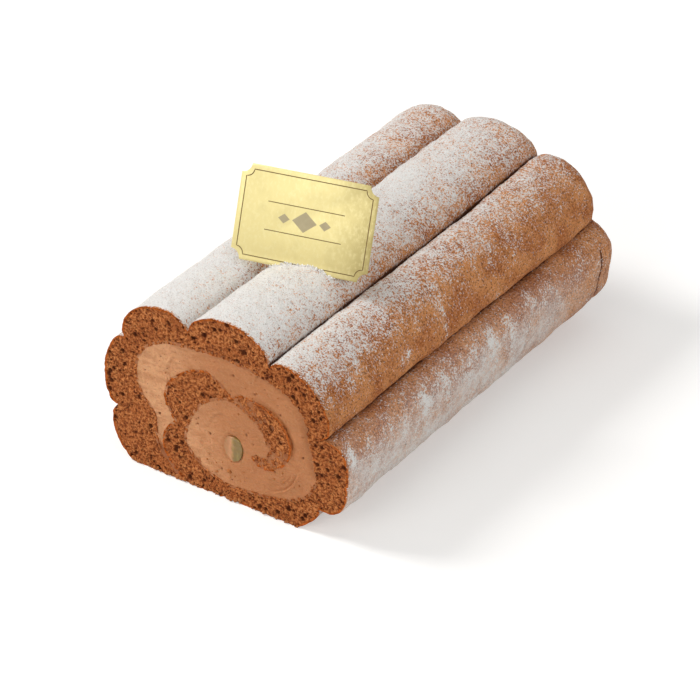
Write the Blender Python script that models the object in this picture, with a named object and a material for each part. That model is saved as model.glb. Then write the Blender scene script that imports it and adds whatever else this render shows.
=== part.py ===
"""Swiss roll cake with a label card: one chocolate sponge sheet, piped in fingers, rolled around cream.

The roll lies along Y with its cut face towards -Y. It rests on Z = 0, and the origin is under the middle
of its box. Sizes are in millimetres here and become metres when a mesh is made.
"""

import math

import bmesh
import bpy
import numpy as np
from mathutils import Matrix, Vector

MM = 0.001

# The roll along its axis
CUT_Y = -88.0  # the cut face
FAR_Y = 88.0  # the tip of the longest finger at the uncut end
GAP = 0.3  # kept between solids that touch

# The uncut end, where each finger has a rounded tip
TIP_ROUND = 9.0  # length over which a finger thins to its tip
TIP_SHARE = 0.28  # thickness left at the very tip, as a share of the whole

# The sheet in cross-section, (x, z). Each finger runs from the groove before it to its own groove.
# "smooth" is the side spread with cream, by the points that its curve passes through; the last one lies
# opposite the groove. "groove" is the bottom of the groove on the browned side. Between two grooves that
# side is an arch: "rise" is its height over the line between them, and "square" its exponent, where 2 is
# a half ellipse. What would reach below the table is pressed flat on it.
SHEET_START = {"smooth": (11.6, 22.5), "groove": (11.2, 21.2)}
FINGERS = {
    "tongue": {
        "smooth": ((16.8, 23.4), (18.2, 27.2), (15.2, 33.4), (9.4, 38.4), (3.2, 41.0)),
        "crest": ((14.2, 18.8), (20.0, 19.2), (26.2, 25.2), (27.4, 32.8), (22.2, 41.3), (9.4, 45.4)),
        "groove": (3.0, 42.8),
    },
    "upper_inner": {
        "smooth": ((-4.0, 38.7), (-9.8, 34.2), (-13.8, 27.6), (-15.8, 21.8)),
        "rise": 14.4,
        "square": 2.6,
        "groove": (-21.4, 24.2),
    },
    "lower_inner": {
        "smooth": ((-15.6, 16.4), (-10.4, 10.8), (-2.4, 6.9), (5.0, 6.4)),
        "rise": 15.9,
        "square": 2.8,
        "groove": (5.0, 1.4),
    },
    "bottom_right": {
        "smooth": ((12.4, 7.4), (21.0, 8.5), (29.4, 11.5), (34.6, 15.8)),
        "rise": 9.0,
        "square": 1.5,
        "groove": (39.6, 10.6),
    },
    "right": {
        "smooth": ((37.8, 23.0), (36.4, 31.0), (34.7, 39.0)),
        "rise": 10.3,
        "square": 2.9,
        "groove": (41.6, 40.0),
    },
    "upper_right": {
        "smooth": ((32.6, 46.4), (26.8, 52.0), (18.6, 54.9)),
        "rise": 9.7,
        "square": 2.0,
        "groove": (19.0, 61.5),
    },
    "top": {
        "smooth": ((10.4, 56.4), (-2.0, 57.2), (-14.4, 56.0)),
        "rise": 10.5,
        "square": 2.0,
        "groove": (-14.3, 62.2),
    },
    "upper_left": {
        "smooth": ((-22.6, 54.9), (-29.4, 51.8), (-34.4, 47.0)),
        "rise": 10.8,
        "square": 2.0,
        "groove": (-42.0, 50.6),
    },
    "left": {
        "smooth": ((-36.9, 38.6), (-34.4, 30.0)),
        "rise": 7.0,
        "square": 1.9,
        "groove": (-46.0, 21.2),
    },
    "bottom_left": {
        "smooth": ((-29.6, 24.6), (-28.9, 16.0), (-27.7, 10.6), (-24.0, 5.0), (-20.2, 0.8)),
        "rise": 12.5,
        "square": 2.0,
        "groove": (-21.1, 0.0),
    },
}
FINGERS_IN_CREAM = ("tongue", "upper_inner", "lower_inner")  # their browned side faces cream

# How much sooner than FAR_Y each finger ends: at its middle, and at the groove after it
START_SHORT = 8.0
ENDS_SHORT = {
    "tongue": (4.0, 8.0),
    "upper_inner": (4.0, 8.0),
    "lower_inner": (4.0, 8.0),
    "bottom_right": (4.0, 6.0),
    "right": (0.0, 2.6),
    "upper_right": (0.5, 5.0),
    "top": (3.0, 4.6),
    "upper_left": (0.5, 5.0),
    "left": (3.0, 7.0),
    "bottom_left": (4.0, 8.0),
}

# Hand piping: grooves wander sideways along the roll and crests swell, on the outer coil's fingers.
# Each is a slow wave whose pitch and phase step on from one finger to the next.
WANDER = 0.7
SWELL = 0.35
WAVE_PITCH = 16.0
WAVE_PITCH_STEP = 1.5
WAVE_PHASE_STEP = 2.1

# How finely the sheet is divided, and the curves that it is read from
FINGER_STEPS = 12
ROLL_STEPS = 9
TIP_STEPS = 4
CURVE_STEPS = 24
ARCH_STEPS = 60

# The cream
CREAM_CUT_Y = CUT_Y + 0.4
CREAM_FAR_Y = FAR_Y - TIP_ROUND
CREAM_END_Z = 11.4  # the height at which it runs out between the last finger and the coil inside it
LEAST_MITRE = 0.35  # holds back the corners of the inset outline

# The piece of chestnut in the core
CHESTNUT_CENTRE = (3.2, CUT_Y + 1.0, 21.6)
CHESTNUT_SIZE = (8.4, 15.0, 10.4)
CHESTNUT_TURN = 24.0  # degrees about Y
CHESTNUT_LUMPS = 0.07  # how far its lumps stand out, as a share of its size

# The label card, which leans back in a slit in the top finger
CARD_WIDTH = 50.0
CARD_HEIGHT = 33.4
CARD_THICK = 0.5
CARD_NOTCH = 3.4  # radius of the hollow corners
CARD_NOTCH_STEPS = 6
CARD_FOOT = (0.5, -44.8, 70.2)  # the middle of its lower edge
CARD_YAW = 13.7  # degrees
CARD_LEAN = 25.0  # degrees back from upright
SLIT_DEPTH = 6.0

SHARP_ANGLE = 40.0  # edges sharper than this are shaded sharp


def smooth_curve(points, steps):
    """A Catmull-Rom curve through the points, as steps + 1 points at even distances."""
    points = np.asarray(points, float)
    padded = np.vstack([2 * points[0] - points[1], points, 2 * points[-1] - points[-2]])
    fine = []
    for a, b, c, d in zip(padded, padded[1:], padded[2:], padded[3:]):
        for t in np.linspace(0, 1, CURVE_STEPS, endpoint=False):
            square = (2 * a - 5 * b + 4 * c - d) * t**2
            cube = (3 * b - a - 3 * c + d) * t**3
            fine.append((2 * b + (c - a) * t + square + cube) / 2)
    return evenly(np.vstack([fine, points[-1]]), steps)


def evenly(path, steps):
    """The path again, with steps + 1 points at even distances."""
    lengths = np.concatenate([[0], np.cumsum(np.linalg.norm(np.diff(path, axis=0), axis=1))])
    places = np.linspace(0, lengths[-1], steps + 1)
    return np.stack([np.interp(places, lengths, path[:, i]) for i in range(2)], axis=1)


def arch(start, end, rise, square, steps):
    """The browned side of a finger: a rounded arch to the right of the line from start to end."""
    start, end = np.asarray(start, float), np.asarray(end, float)
    along = end - start
    outward = np.array([along[1], -along[0]]) / np.linalg.norm(along)
    turn = np.linspace(math.pi, 0, ARCH_STEPS + 1)
    across = np.sign(np.cos(turn)) * np.abs(np.cos(turn)) ** (2 / square)
    height = np.sin(turn) ** (2 / square)
    path = start + np.outer((across + 1) / 2, along) + rise * np.outer(height, outward)
    return evenly(path, steps)


def wave(number, y):
    """How groove or crest number strays at y, from -1 to 1; nothing strays at the cut face."""
    pitch = WAVE_PITCH + WAVE_PITCH_STEP * number
    return math.sin(y / pitch + WAVE_PHASE_STEP * number) * (y - CUT_Y) / (FAR_Y - CUT_Y)


def smooth_side(steps):
    """The cream side of the whole sheet, with steps stretches to each finger."""
    points = [SHEET_START["smooth"]]
    for finger in FINGERS.values():
        points += finger["smooth"]
    whole = smooth_curve(points, CURVE_STEPS * (len(points) - 1))
    side = [whole[:1]]
    start = 0
    for finger in FINGERS.values():
        end = int(np.argmin(np.linalg.norm(whole - finger["smooth"][-1], axis=1)))
        side.append(evenly(whole[start : end + 1], steps)[1:])
        start = end
    return np.vstack(side)


def browned_side(y, steps):
    """The browned side of the whole sheet at y, point for point opposite the smooth side."""
    start = SHEET_START["groove"]
    side = [np.array([start], float)]
    for number, (name, finger) in enumerate(FINGERS.items()):
        end = np.array(finger["groove"], float)
        outer = name not in FINGERS_IN_CREAM
        if outer and name != "bottom_left":
            along = end - start
            end += WANDER * wave(number, y) * along / np.linalg.norm(along)
        if "crest" in finger:
            path = smooth_curve([start, *finger["crest"], end], steps)
        else:
            rise = finger["rise"] + (SWELL * wave(number + 1, y) if outer else 0)
            path = arch(start, end, rise, finger["square"], steps)
        side.append(path[1:])
        start = end
    side = np.vstack(side)
    side[:, 1] = np.maximum(side[:, 1], 0)
    return side


def sheet_ends(steps):
    """The y at which the sheet ends, for each point across it: later at a finger than at a groove."""
    across = np.linspace(-1, 1, steps + 1)
    ends = [np.array([FAR_Y - START_SHORT])]
    groove_before = START_SHORT
    for middle, groove in ENDS_SHORT.values():
        deeper = np.where(across < 0, groove_before - middle, groove - middle)
        ends.append((FAR_Y - middle - deeper * (1 - np.sqrt(1 - across**2)))[1:])
        groove_before = groove
    return np.concatenate(ends)


def thickness_left(distance):
    """The share of the full thickness at this distance from the sheet's end."""
    if distance >= TIP_ROUND:
        return 1.0
    return TIP_SHARE + (1 - TIP_SHARE) * math.sqrt(1 - (1 - distance / TIP_ROUND) ** 2)


def roll_stations():
    """Places along the roll: shares of its length up to the round tips, then distances from the end."""
    shares = np.linspace(0, 1, ROLL_STEPS + 1)
    angles = np.linspace(math.pi / 2, 0, TIP_STEPS + 1)[1:]
    return shares, [TIP_ROUND * (1 - math.cos(angle)) for angle in angles]


def add_object(name, bm, color, roughness, metallic=0.0):
    """A mesh object in metres from a bmesh in millimetres, with its own material."""
    bmesh.ops.scale(bm, vec=(MM, MM, MM), verts=bm.verts)
    mesh = bpy.data.meshes.new(name)
    bm.to_mesh(mesh)
    bm.free()
    mesh.shade_smooth()
    mesh.set_sharp_from_angle(angle=math.radians(SHARP_ANGLE))
    thing = bpy.data.objects.new(name, mesh)
    bpy.context.scene.collection.objects.link(thing)
    material = bpy.data.materials.new(name)
    material.use_nodes = True
    shader = material.node_tree.nodes["Principled BSDF"]
    shader.inputs["Base Color"].default_value = (*color, 1)
    shader.inputs["Roughness"].default_value = roughness
    shader.inputs["Metallic"].default_value = metallic
    mesh.materials.append(material)
    return thing


def cut(thing, cutter, name):
    """Cuts the cutter out of the thing and keeps the cutter as a hidden guide."""
    cutter.hide_render = True
    cutter.display_type = "WIRE"
    boolean = thing.modifiers.new(name, "BOOLEAN")
    boolean.operation = "DIFFERENCE"
    boolean.object = cutter


def make_sponge():
    """The rolled sheet as one closed body: browned side, smooth side, cut face, far edge and two ends."""
    smooth = smooth_side(FINGER_STEPS)
    ends = sheet_ends(FINGER_STEPS)
    shares, distances = roll_stations()
    bm = bmesh.new()
    columns = []
    rows = [(share, TIP_ROUND) for share in shares] + [(1, distance) for distance in distances]
    for share, distance in rows:
        full = CUT_Y + share * (FAR_Y - TIP_ROUND - CUT_Y)
        browned = browned_side(full, FINGER_STEPS)
        row = []
        for at, (inner, outer) in enumerate(zip(smooth, browned)):
            y = CUT_Y + share * (ends[at] - distance - CUT_Y)
            x, z = inner + (outer - inner) * thickness_left(distance)
            row.append(bm.verts.new((x, y, z)))
        columns.append(row)
    near = [bm.verts.new((x, CUT_Y, z)) for x, z in smooth]
    far = [bm.verts.new((x, y, z)) for (x, z), y in zip(smooth, ends)]
    last = len(smooth) - 1
    for i in range(last):
        bm.faces.new((near[i], near[i + 1], columns[0][i + 1], columns[0][i]))
        bm.faces.new((far[i + 1], far[i], columns[-1][i], columns[-1][i + 1]))
        bm.faces.new((near[i + 1], near[i], far[i], far[i + 1]))
        for row, following in zip(columns, columns[1:]):
            bm.faces.new((row[i], row[i + 1], following[i + 1], following[i]))
    bm.faces.new([near[0], *(row[0] for row in columns), far[0]])
    bm.faces.new([far[last], *(row[last] for row in reversed(columns)), near[last]])
    bmesh.ops.recalc_face_normals(bm, faces=bm.faces)
    return add_object("sponge", bm, (0.42, 0.20, 0.09), 0.9)


def inset(loop, distance):
    """The closed loop moved inwards by the distance, with mitred corners; it runs counterclockwise."""
    edges = np.roll(loop, -1, axis=0) - loop
    normals = np.stack([-edges[:, 1], edges[:, 0]], axis=1)
    normals /= np.linalg.norm(normals, axis=1, keepdims=True)
    before = np.roll(normals, 1, axis=0)
    facing = np.sum(normals * before, axis=1, keepdims=True)
    return loop + distance * (normals + before) / np.maximum(1 + facing, LEAST_MITRE)


def signed_area(loop):
    """The area inside a closed loop, which is negative where it runs clockwise."""
    following = np.roll(loop, -1, axis=0)
    return np.sum(loop[:, 0] * following[:, 1] - following[:, 0] * loop[:, 1]) / 2


def cream_outline():
    """The space between the coils: along the smooth side, and back along the fingers inside."""
    smooth = smooth_side(FINGER_STEPS)
    crust = browned_side(CUT_Y, FINGER_STEPS)
    last_finger = FINGER_STEPS * (len(FINGERS) - 1)
    low = [i for i in range(last_finger, len(smooth)) if smooth[i][1] < CREAM_END_Z]
    lower_inner = FINGER_STEPS * (len(FINGERS_IN_CREAM) - 1)
    facing = [i for i in range(lower_inner, len(crust)) if crust[i][1] < CREAM_END_Z]
    loop = np.vstack([smooth[: low[0]], crust[: facing[0]][::-1]])
    if signed_area(loop) < 0:
        loop = loop[::-1]
    return inset(loop, GAP)


def prism(corners, travel):
    """A bmesh of the flat outline through the corners, extruded along travel."""
    bm = bmesh.new()
    face = bm.faces.new([bm.verts.new(corner) for corner in corners])
    made = bmesh.ops.extrude_face_region(bm, geom=[face])
    moved = [item for item in made["geom"] if isinstance(item, bmesh.types.BMVert)]
    bmesh.ops.translate(bm, vec=travel, verts=moved)
    bmesh.ops.recalc_face_normals(bm, faces=bm.faces)
    return bm


def make_cream():
    """The spiral of cream, which stops short of the sheet's edge at the uncut end."""
    corners = [(x, CREAM_CUT_Y, z) for x, z in cream_outline()]
    bm = prism(corners, (0, CREAM_FAR_Y - CREAM_CUT_Y, 0))
    return add_object("cream", bm, (0.55, 0.28, 0.14), 0.6)


def chestnut_form(grow):
    """A rounded, slightly bent lump, grown outwards by grow."""
    bm = bmesh.new()
    bmesh.ops.create_icosphere(bm, subdivisions=3, radius=1)
    turn = Matrix.Rotation(math.radians(CHESTNUT_TURN), 3, "Y")
    size = Vector(CHESTNUT_SIZE) / 2 + Vector((grow, grow, grow))
    for vert in bm.verts:
        place = vert.co.normalized()
        lumps = math.sin(3.1 * place.x + 1.4) + math.sin(4.3 * place.z + 2.2 * place.x)
        vert.co = turn @ (place * size * (1 + CHESTNUT_LUMPS * lumps)) + Vector(CHESTNUT_CENTRE)
    return bm


def make_chestnut():
    """The lump, cut off level with the cream."""
    bm = chestnut_form(0)
    everything = [*bm.verts, *bm.edges, *bm.faces]
    cut_at = bmesh.ops.bisect_plane(
        bm, geom=everything, plane_co=(0, CREAM_CUT_Y, 0), plane_no=(0, -1, 0), clear_outer=True
    )
    rim = [item for item in cut_at["geom_cut"] if isinstance(item, bmesh.types.BMEdge)]
    bmesh.ops.holes_fill(bm, edges=rim)
    bmesh.ops.recalc_face_normals(bm, faces=bm.faces)
    return add_object("chestnut", bm, (0.55, 0.42, 0.12), 0.4)


def card_frame():
    """Where the card stands: its X along the lower edge, its Y up the card, its Z out of its face."""
    yaw = Matrix.Rotation(math.radians(CARD_YAW), 4, "Z")
    upright = Matrix.Rotation(math.radians(90 - CARD_LEAN), 4, "X")
    return Matrix.Translation(Vector(CARD_FOOT)) @ yaw @ upright


def make_card():
    """A thin card with a quarter circle taken out of each corner."""
    half = CARD_WIDTH / 2
    corners = ((half, 0, 180), (half, CARD_HEIGHT, 270), (-half, CARD_HEIGHT, 0), (-half, 0, 90))
    outline = []
    for x, y, start in corners:
        for angle in np.radians(np.linspace(start, start - 90, CARD_NOTCH_STEPS + 1)):
            notch = (x + CARD_NOTCH * math.cos(angle), y + CARD_NOTCH * math.sin(angle))
            outline.append((*notch, -CARD_THICK / 2))
    bm = prism(outline, (0, 0, CARD_THICK))
    bmesh.ops.transform(bm, matrix=card_frame(), verts=bm.verts)
    return add_object("label_card", bm, (0.72, 0.62, 0.30), 0.35, metallic=0.8)


def make_slit_cutter():
    """The room that the card's foot takes in the top finger, with the gap all round."""
    half = CARD_WIDTH / 2 + GAP
    back = -CARD_THICK / 2 - GAP
    corners = ((-half, -GAP), (half, -GAP), (half, SLIT_DEPTH), (-half, SLIT_DEPTH))
    bm = prism([(x, y, back) for x, y in corners], (0, 0, CARD_THICK + 2 * GAP))
    bmesh.ops.transform(bm, matrix=card_frame(), verts=bm.verts)
    return add_object("slit_cutter", bm, (1, 0, 0), 0.5)


def main():
    """Clears the scene and builds the cake, its filling and its card."""
    for thing in list(bpy.data.objects):
        bpy.data.objects.remove(thing)
    sponge = make_sponge()
    cream = make_cream()
    make_chestnut()
    make_card()
    cut(sponge, make_slit_cutter(), "Card slit")
    cut(cream, add_object("chestnut_cutter", chestnut_form(GAP), (1, 0, 0), 0.5), "Chestnut pocket")


main()
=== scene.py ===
"""The looks of the swiss roll cake: open crumb, browned crust, powdered sugar, cream and the gold card.

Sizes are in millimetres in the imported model's frame, and become metres when a mesh is made.
"""

import math
import random

import bmesh
import bpy
import numpy as np
from mathutils import Matrix, Vector, noise
from mathutils.geometry import delaunay_2d_cdt


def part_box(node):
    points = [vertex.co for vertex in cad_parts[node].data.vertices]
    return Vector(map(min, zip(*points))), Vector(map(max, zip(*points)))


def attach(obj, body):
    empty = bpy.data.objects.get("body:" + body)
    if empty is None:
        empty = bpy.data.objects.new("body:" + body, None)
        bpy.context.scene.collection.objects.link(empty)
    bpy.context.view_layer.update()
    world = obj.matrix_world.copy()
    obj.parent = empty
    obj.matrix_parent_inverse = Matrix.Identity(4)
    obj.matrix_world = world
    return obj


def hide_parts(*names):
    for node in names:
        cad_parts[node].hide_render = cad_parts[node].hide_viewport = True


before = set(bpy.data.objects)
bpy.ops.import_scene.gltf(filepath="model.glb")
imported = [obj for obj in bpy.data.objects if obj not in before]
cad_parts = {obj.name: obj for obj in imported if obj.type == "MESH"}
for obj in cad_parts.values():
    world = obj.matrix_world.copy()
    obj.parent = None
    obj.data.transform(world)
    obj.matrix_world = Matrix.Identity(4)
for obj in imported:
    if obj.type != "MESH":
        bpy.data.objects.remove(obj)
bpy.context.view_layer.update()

MM = 0.001

# ---------------------------------------------------------------- the roll's form, as the solids have it

CUT_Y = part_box("sponge")[0][1] / MM
FAR_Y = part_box("sponge")[1][1] / MM
TIP_ROUND = 9.0
TIP_SHARE = 0.28
CREAM_FAR_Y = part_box("cream")[1][1] / MM
CREAM_END_Z = 1.4  # the tail runs on down to the base here; the solid's ends at 11.4
LEAST_MITRE = 0.35

SHEET_START = {"smooth": (11.6, 22.5), "groove": (11.2, 21.2)}
FINGERS = {
    "tongue": {
        "smooth": ((16.8, 23.4), (18.2, 27.2), (15.2, 33.4), (9.4, 38.4), (3.2, 41.0)),
        "crest": ((14.2, 18.8), (20.0, 19.2), (26.2, 25.2), (27.4, 32.8), (22.2, 41.3), (9.4, 45.4)),
        "groove": (3.0, 42.8),
    },
    "upper_inner": {
        "smooth": ((-4.0, 38.7), (-9.8, 34.2), (-13.8, 27.6), (-15.8, 21.8)),
        "rise": 14.4,
        "square": 2.6,
        "groove": (-21.4, 24.2),
    },
    "lower_inner": {
        "smooth": ((-15.6, 16.4), (-10.4, 10.8), (-2.4, 6.9), (5.0, 6.4)),
        "rise": 15.9,
        "square": 2.8,
        "groove": (5.0, 1.4),
    },
    "bottom_right": {
        "smooth": ((12.4, 7.4), (21.0, 8.5), (29.4, 11.5), (34.6, 15.8)),
        "rise": 9.0,
        "square": 1.5,
        "groove": (39.6, 10.6),
    },
    "right": {
        "smooth": ((37.8, 23.0), (36.4, 31.0), (34.7, 39.0)),
        "rise": 10.3,
        "square": 2.9,
        "groove": (41.6, 40.0),
    },
    "upper_right": {
        "smooth": ((32.6, 46.4), (26.8, 52.0), (18.6, 54.9)),
        "rise": 9.7,
        "square": 2.0,
        "groove": (19.0, 61.5),
    },
    "top": {
        "smooth": ((10.4, 56.4), (-2.0, 57.2), (-14.4, 56.0)),
        "rise": 10.5,
        "square": 2.0,
        "groove": (-14.3, 62.2),
    },
    "upper_left": {
        "smooth": ((-22.6, 54.9), (-29.4, 51.8), (-34.4, 47.0)),
        "rise": 10.8,
        "square": 2.0,
        "groove": (-42.0, 50.6),
    },
    "left": {
        "smooth": ((-36.9, 38.6), (-34.4, 30.0)),
        "rise": 7.0,
        "square": 1.9,
        "groove": (-46.0, 21.2),
    },
    "bottom_left": {
        "smooth": ((-29.6, 24.6), (-28.9, 16.0), (-27.7, 10.6), (-24.0, 5.0), (-20.2, 0.8)),
        "rise": 12.5,
        "square": 2.0,
        "groove": (-21.1, 0.0),
    },
}
FINGERS_IN_CREAM = ("tongue", "upper_inner", "lower_inner")
START_SHORT = 8.0
ENDS_SHORT = {  # how much sooner a finger ends at its middle, and at the groove after it
    "tongue": (4.0, 8.0),
    "upper_inner": (4.0, 8.0),
    "lower_inner": (4.0, 8.0),
    "bottom_right": (4.0, 6.0),
    "right": (0.0, 2.6),
    "upper_right": (0.5, 5.0),
    "top": (3.0, 4.6),
    "upper_left": (0.5, 5.0),
    "left": (3.0, 7.0),
    "bottom_left": (4.0, 8.0),
}
WANDER = 0.7
SWELL = 0.35
WAVE_PITCH = 16.0
WAVE_PITCH_STEP = 1.5
WAVE_PHASE_STEP = 2.1
CURVE_STEPS = 24
ARCH_STEPS = 60

# How finely the visual sponge is divided
SHEET_STEPS = 40  # columns of crust to a finger
CLOSER = 0.45  # how much closer the columns are at a groove than on average
FACE_FINER = 3  # columns of crumb to a column of crust
FACE_ROWS = 31
ROLL_ROWS = 126
TIP_ROWS = 10

# How much of the crust sugar hides, at even steps from the groove before each finger to its own.
# The rows are for the cut end, the middle and the far end.
NO_SUGAR = ((0.0, 0.0),) * 3
SUGAR = {
    "tongue": NO_SUGAR,
    "upper_inner": NO_SUGAR,
    "lower_inner": NO_SUGAR,
    "bottom_right": ((0.0, 0.10, 0.30, 0.40), (0.0, 0.10, 0.30, 0.40), (0.0, 0.10, 0.20, 0.20)),
    "right": (
        (0.40, 0.46, 0.46, 0.44, 0.30, 0.16),
        (0.44, 0.46, 0.46, 0.46, 0.28, 0.12),
        (0.08, 0.12, 0.18, 0.24, 0.26, 0.14),
    ),
    "upper_right": (
        (0.05, 0.08, 0.24, 0.52, 0.74, 0.80),
        (0.06, 0.08, 0.16, 0.36, 0.58, 0.64),
        (0.04, 0.08, 0.16, 0.32, 0.50, 0.50),
    ),
    "top": (
        (0.62, 0.78, 0.89, 0.97, 1.0, 0.82),
        (0.30, 0.56, 0.78, 0.88, 0.90, 0.72),
        (0.32, 0.52, 0.64, 0.70, 0.70, 0.54),
    ),
    "upper_left": (
        (0.78, 0.92, 0.97, 0.98, 0.96, 0.86),
        (0.42, 0.60, 0.74, 0.82, 0.84, 0.74),
        (0.38, 0.52, 0.62, 0.66, 0.68, 0.56),
    ),
    "left": ((0.70, 0.72, 0.60, 0.42, 0.30), (0.62, 0.60, 0.50, 0.40, 0.28), (0.4, 0.4, 0.36, 0.3, 0.2)),
    "bottom_left": ((0.24, 0.20, 0.10, 0.0, 0.0), (0.24, 0.20, 0.10, 0.0, 0.0), (0.1, 0.1, 0.0, 0.0, 0.0)),
}
SUGAR_PATCHES = 0.13
# Sugar rubbed into smears: finger, share across it, y, size across, size along, how much
SMEARS = (
    ("upper_right", 0.15, -17.0, 3.4, 1.3, 0.85),
    ("upper_right", 0.24, -39.0, 3.2, 1.4, 0.80),
    ("upper_right", 0.20, -43.0, 2.8, 1.1, 0.60),
    ("upper_right", 0.40, -16.0, 4.0, 1.0, 0.60),
    ("upper_right", 0.56, -13.0, 2.6, 1.2, 0.50),
    ("upper_right", 0.12, 16.0, 3.0, 1.1, 0.40),
    ("right", 0.72, -84.0, 4.4, 1.8, 0.50),
    ("right", 0.73, -73.0, 3.6, 2.2, 0.45),
    ("right", 0.73, -61.0, 4.0, 1.8, 0.45),
    ("right", 0.66, -40.0, 6.0, 3.0, 0.60),
    ("right", 0.70, -28.0, 4.4, 3.0, 0.60),
    ("right", 0.64, -13.0, 4.6, 2.2, 0.45),
    ("right", 0.80, -7.0, 3.4, 2.0, 0.45),
    ("right", 0.72, 2.0, 5.0, 2.6, 0.50),
    ("right", 0.78, 14.0, 4.4, 2.4, 0.50),
    ("right", 0.80, 30.0, 4.0, 2.6, 0.40),
)
STREAKS = (("right", 0.45, 0.82, 0.24), ("upper_right", 0.30, 0.60, 0.12))  # from and to what share, how much
FILM = {"right": (0.80, 0.80, 0.76, 0.56, 0.18, 0.0), "bottom_right": (0.1, 0.2, 0.4, 0.5)}

# How deep the crack in the groove after a finger is, in millimetres, and how dark its painted shade is
CRACKS = {
    "bottom_right": (1.2, 0.90),
    "right": (2.8, 1.12),
    "upper_right": (2.8, 1.24),
    "top": (1.0, 0.74),
    "upper_left": (1.0, 0.85),
    "left": (1.0, 0.85),
}
CRACK_WIDTH = 1.1
CRACK_SHADE_REACH = 2.6
CREASE_Y = 75.0

rng = random.Random(7)
chance = np.random.default_rng(7)


def spread(steps, closer=0.0):
    """steps + 1 shares from 0 to 1: even, or closer together at both ends."""
    even = np.linspace(0, 1, steps + 1)
    return even - closer * np.sin(2 * math.pi * even) / (2 * math.pi)


def smooth_curve(points, steps, closer=0.0):
    """A Catmull-Rom curve through the points, as steps + 1 points."""
    points = np.asarray(points, float)
    padded = np.vstack([2 * points[0] - points[1], points, 2 * points[-1] - points[-2]])
    fine = []
    for a, b, c, d in zip(padded, padded[1:], padded[2:], padded[3:]):
        for t in np.linspace(0, 1, CURVE_STEPS, endpoint=False):
            square = (2 * a - 5 * b + 4 * c - d) * t**2
            cube = (3 * b - a - 3 * c + d) * t**3
            fine.append((2 * b + (c - a) * t + square + cube) / 2)
    return divided(np.vstack([fine, points[-1]]), steps, closer)


def divided(path, steps, closer=0.0):
    """The path again, with steps + 1 points at even distances or closer at its ends."""
    lengths = np.concatenate([[0], np.cumsum(np.linalg.norm(np.diff(path, axis=0), axis=1))])
    places = lengths[-1] * spread(steps, closer)
    return np.stack([np.interp(places, lengths, path[:, i]) for i in range(2)], axis=1)


def arch(start, end, rise, square, steps):
    """The browned side of a finger: a rounded arch to the right of the line from start to end."""
    start, end = np.asarray(start, float), np.asarray(end, float)
    along = end - start
    outward = np.array([along[1], -along[0]]) / np.linalg.norm(along)
    turn = np.linspace(math.pi, 0, ARCH_STEPS + 1)
    across = np.sign(np.cos(turn)) * np.abs(np.cos(turn)) ** (2 / square)
    height = np.sin(turn) ** (2 / square)
    path = start + np.outer((across + 1) / 2, along) + rise * np.outer(height, outward)
    return divided(path, steps, CLOSER)


def wave(number, y):
    """How groove or crest number strays at y, from -1 to 1; nothing strays at the cut face."""
    pitch = WAVE_PITCH + WAVE_PITCH_STEP * number
    return math.sin(y / pitch + WAVE_PHASE_STEP * number) * (y - CUT_Y) / (FAR_Y - CUT_Y)


def smooth_side(steps):
    """The cream side of the whole sheet, with steps stretches to each finger."""
    points = [SHEET_START["smooth"]]
    for finger in FINGERS.values():
        points += finger["smooth"]
    whole = smooth_curve(points, CURVE_STEPS * (len(points) - 1))
    side = [whole[:1]]
    start = 0
    for finger in FINGERS.values():
        end = int(np.argmin(np.linalg.norm(whole - finger["smooth"][-1], axis=1)))
        side.append(divided(whole[start : end + 1], steps, CLOSER)[1:])
        start = end
    return np.vstack(side)


def browned_side(y, steps):
    """The browned side of the whole sheet at y, point for point opposite the smooth side."""
    start = SHEET_START["groove"]
    side = [np.array([start], float)]
    for number, (name, finger) in enumerate(FINGERS.items()):
        end = np.array(finger["groove"], float)
        outer = name not in FINGERS_IN_CREAM
        if outer and name != "bottom_left":
            along = end - start
            end += WANDER * wave(number, y) * along / np.linalg.norm(along)
        if "crest" in finger:
            path = smooth_curve([start, *finger["crest"], end], steps, CLOSER)
        else:
            rise = finger["rise"] + (SWELL * wave(number + 1, y) if outer else 0)
            path = arch(start, end, rise, finger["square"], steps)
        side.append(path[1:])
        start = end
    side = np.vstack(side)
    side[:, 1] = np.maximum(side[:, 1], 0)
    return side


def sheet_ends(steps):
    """The y at which the sheet ends, for each point across it: later at a finger than at a groove."""
    across = 2 * spread(steps, CLOSER) - 1
    ends = [np.array([FAR_Y - START_SHORT])]
    groove_before = START_SHORT
    for middle, groove in ENDS_SHORT.values():
        deeper = np.where(across < 0, groove_before - middle, groove - middle)
        ends.append((FAR_Y - middle - deeper * (1 - np.sqrt(1 - across**2)))[1:])
        groove_before = groove
    return np.concatenate(ends)


def thickness_left(distance):
    """The share of the full thickness at this distance from the sheet's end."""
    if distance >= TIP_ROUND:
        return 1.0
    return TIP_SHARE + (1 - TIP_SHARE) * math.sqrt(1 - (1 - distance / TIP_ROUND) ** 2)


def inset(loop, distance):
    """The closed loop moved inwards by the distance, with mitred corners; it runs counterclockwise."""
    edges = np.roll(loop, -1, axis=0) - loop
    normals = np.stack([-edges[:, 1], edges[:, 0]], axis=1)
    normals /= np.linalg.norm(normals, axis=1, keepdims=True)
    before = np.roll(normals, 1, axis=0)
    facing = np.sum(normals * before, axis=1, keepdims=True)
    return loop + distance * (normals + before) / np.maximum(1 + facing, LEAST_MITRE)


def signed_area(loop):
    """The area inside a closed loop, which is negative where it runs clockwise."""
    following = np.roll(loop, -1, axis=0)
    return np.sum(loop[:, 0] * following[:, 1] - following[:, 0] * loop[:, 1]) / 2


# ---------------------------------------------------------------- small helpers


def ramp(value, low, high):
    """0 at low, 1 at high, with a smooth change between them."""
    t = np.clip((value - low) / (high - low), 0, 1)
    return t * t * (3 - 2 * t)


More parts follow.
